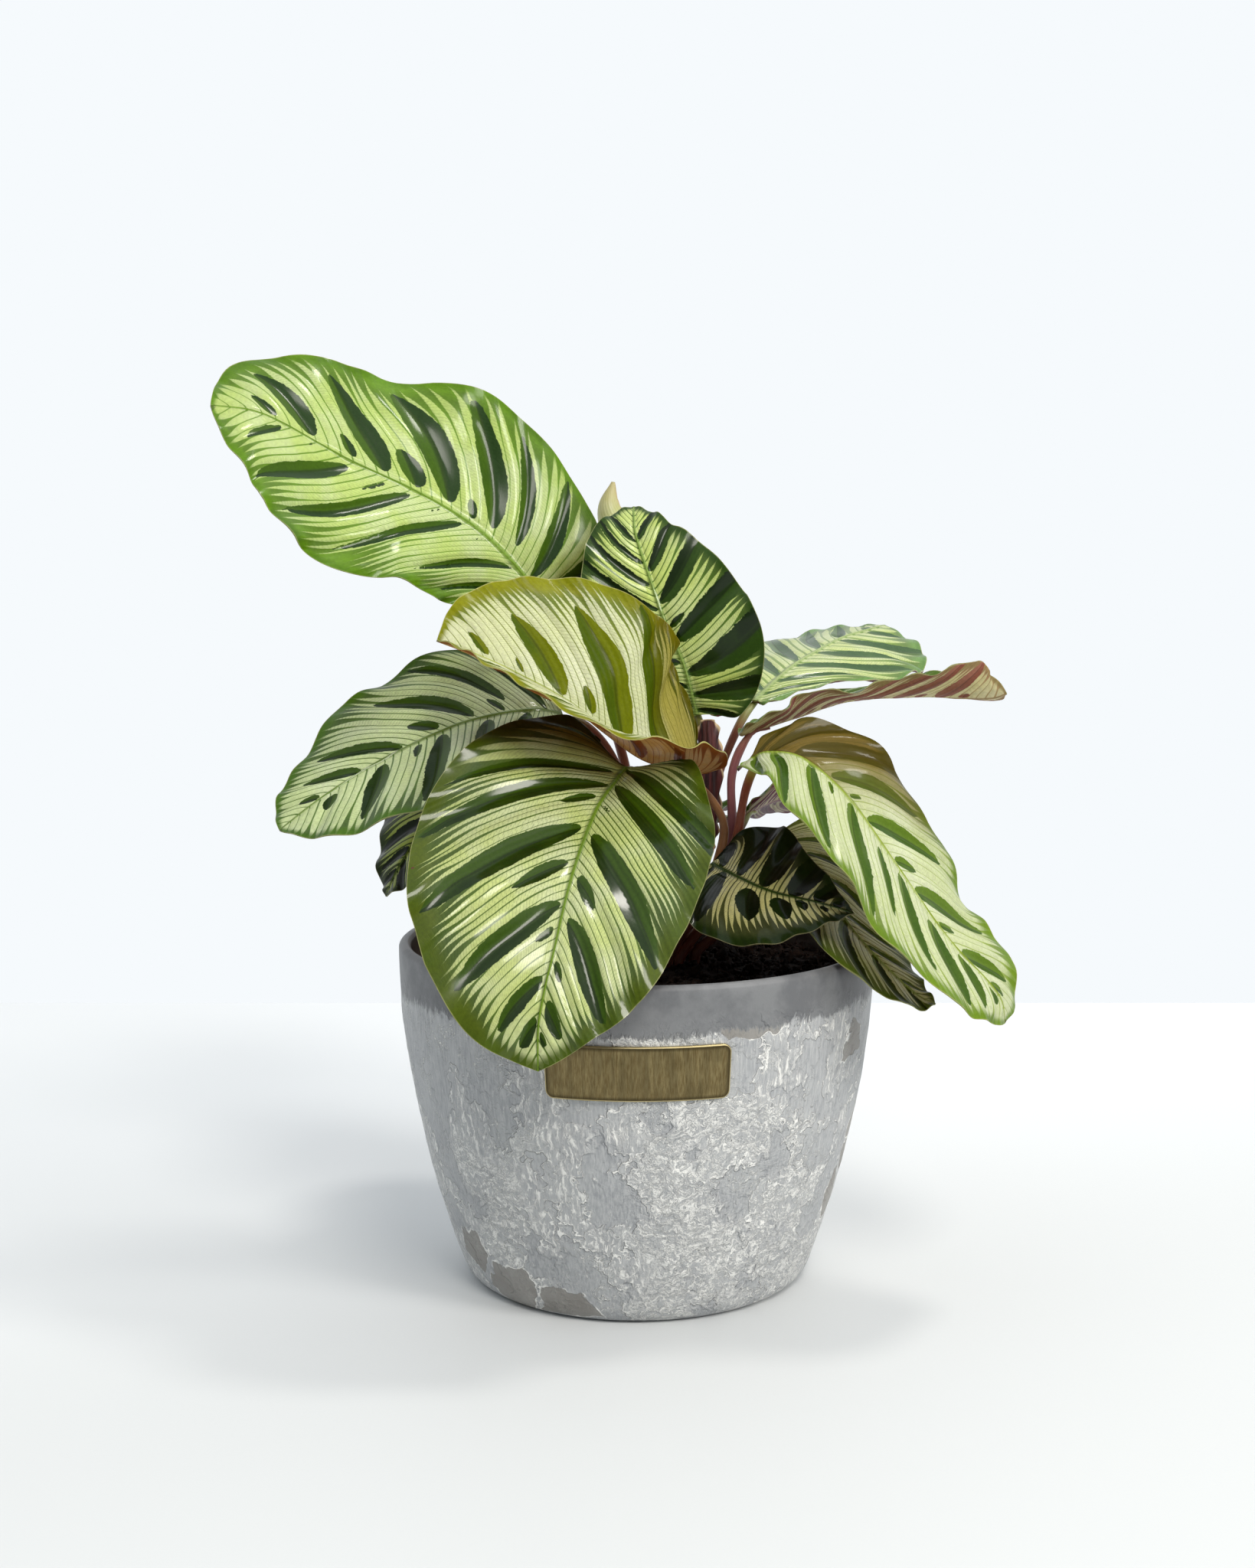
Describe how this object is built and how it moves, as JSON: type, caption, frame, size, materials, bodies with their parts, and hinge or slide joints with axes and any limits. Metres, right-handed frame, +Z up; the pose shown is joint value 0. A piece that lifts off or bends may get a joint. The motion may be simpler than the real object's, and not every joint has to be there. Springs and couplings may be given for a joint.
{
  "type": "potted peacock plant",
  "caption": "Potted peacock plant: broad patterned leaves on slender stalks rise from soil in a round tapered stone-look planter with a bare brass-coloured plate.",
  "frame": {"origin": "centre of the pot's foot, on the surface that it stands on", "axes": "+Z up along the pot's axis; -Y to the front, where the plate is; +X to the right seen from the front"},
  "size_m": [0.2907, 0.2507, 0.3467],
  "materials": {
    "stone_finish": "matte stone-look grey with pale mineral veins",
    "brass": "brushed, slightly aged",
    "soil": "loose dark potting mix",
    "leaf": "glossy, pale green ground with dark green lobes, purple underneath",
    "stalk": "satin red-brown",
    "sheath": "satin dark maroon",
    "young_leaf": "satin pale yellow-green"
  },
  "bodies": {
    "root": {"pot": "stone_finish", "plate": "brass", "soil": "soil", "top_left_blade": "leaf", "top_left_stalk": "stalk", "top_centre_blade": "leaf", "top_centre_stalk": "stalk", "upper_front_blade": "leaf", "upper_front_stalk": "stalk", "front_blade": "leaf", "front_stalk": "stalk", "left_blade": "leaf", "left_stalk": "stalk", "low_left_blade": "leaf", "low_left_stalk": "stalk", "right_blade": "leaf", "right_stalk": "stalk", "back_right_blade": "leaf", "back_right_stalk": "stalk", "rolled_right_blade": "leaf", "rolled_right_stalk": "stalk", "low_front_right_blade": "leaf", "low_front_right_stalk": "stalk", "low_right_blade": "leaf", "low_right_stalk": "stalk", "low_back_right_blade": "leaf", "low_back_right_stalk": "stalk", "back_left_blade": "leaf", "back_left_stalk": "stalk", "low_back_blade": "leaf", "low_back_stalk": "stalk", "crown_sheath": "sheath", "young_leaf_roll": "young_leaf", "young_leaf_stalk": "stalk"}
  },
  "joints": []
}
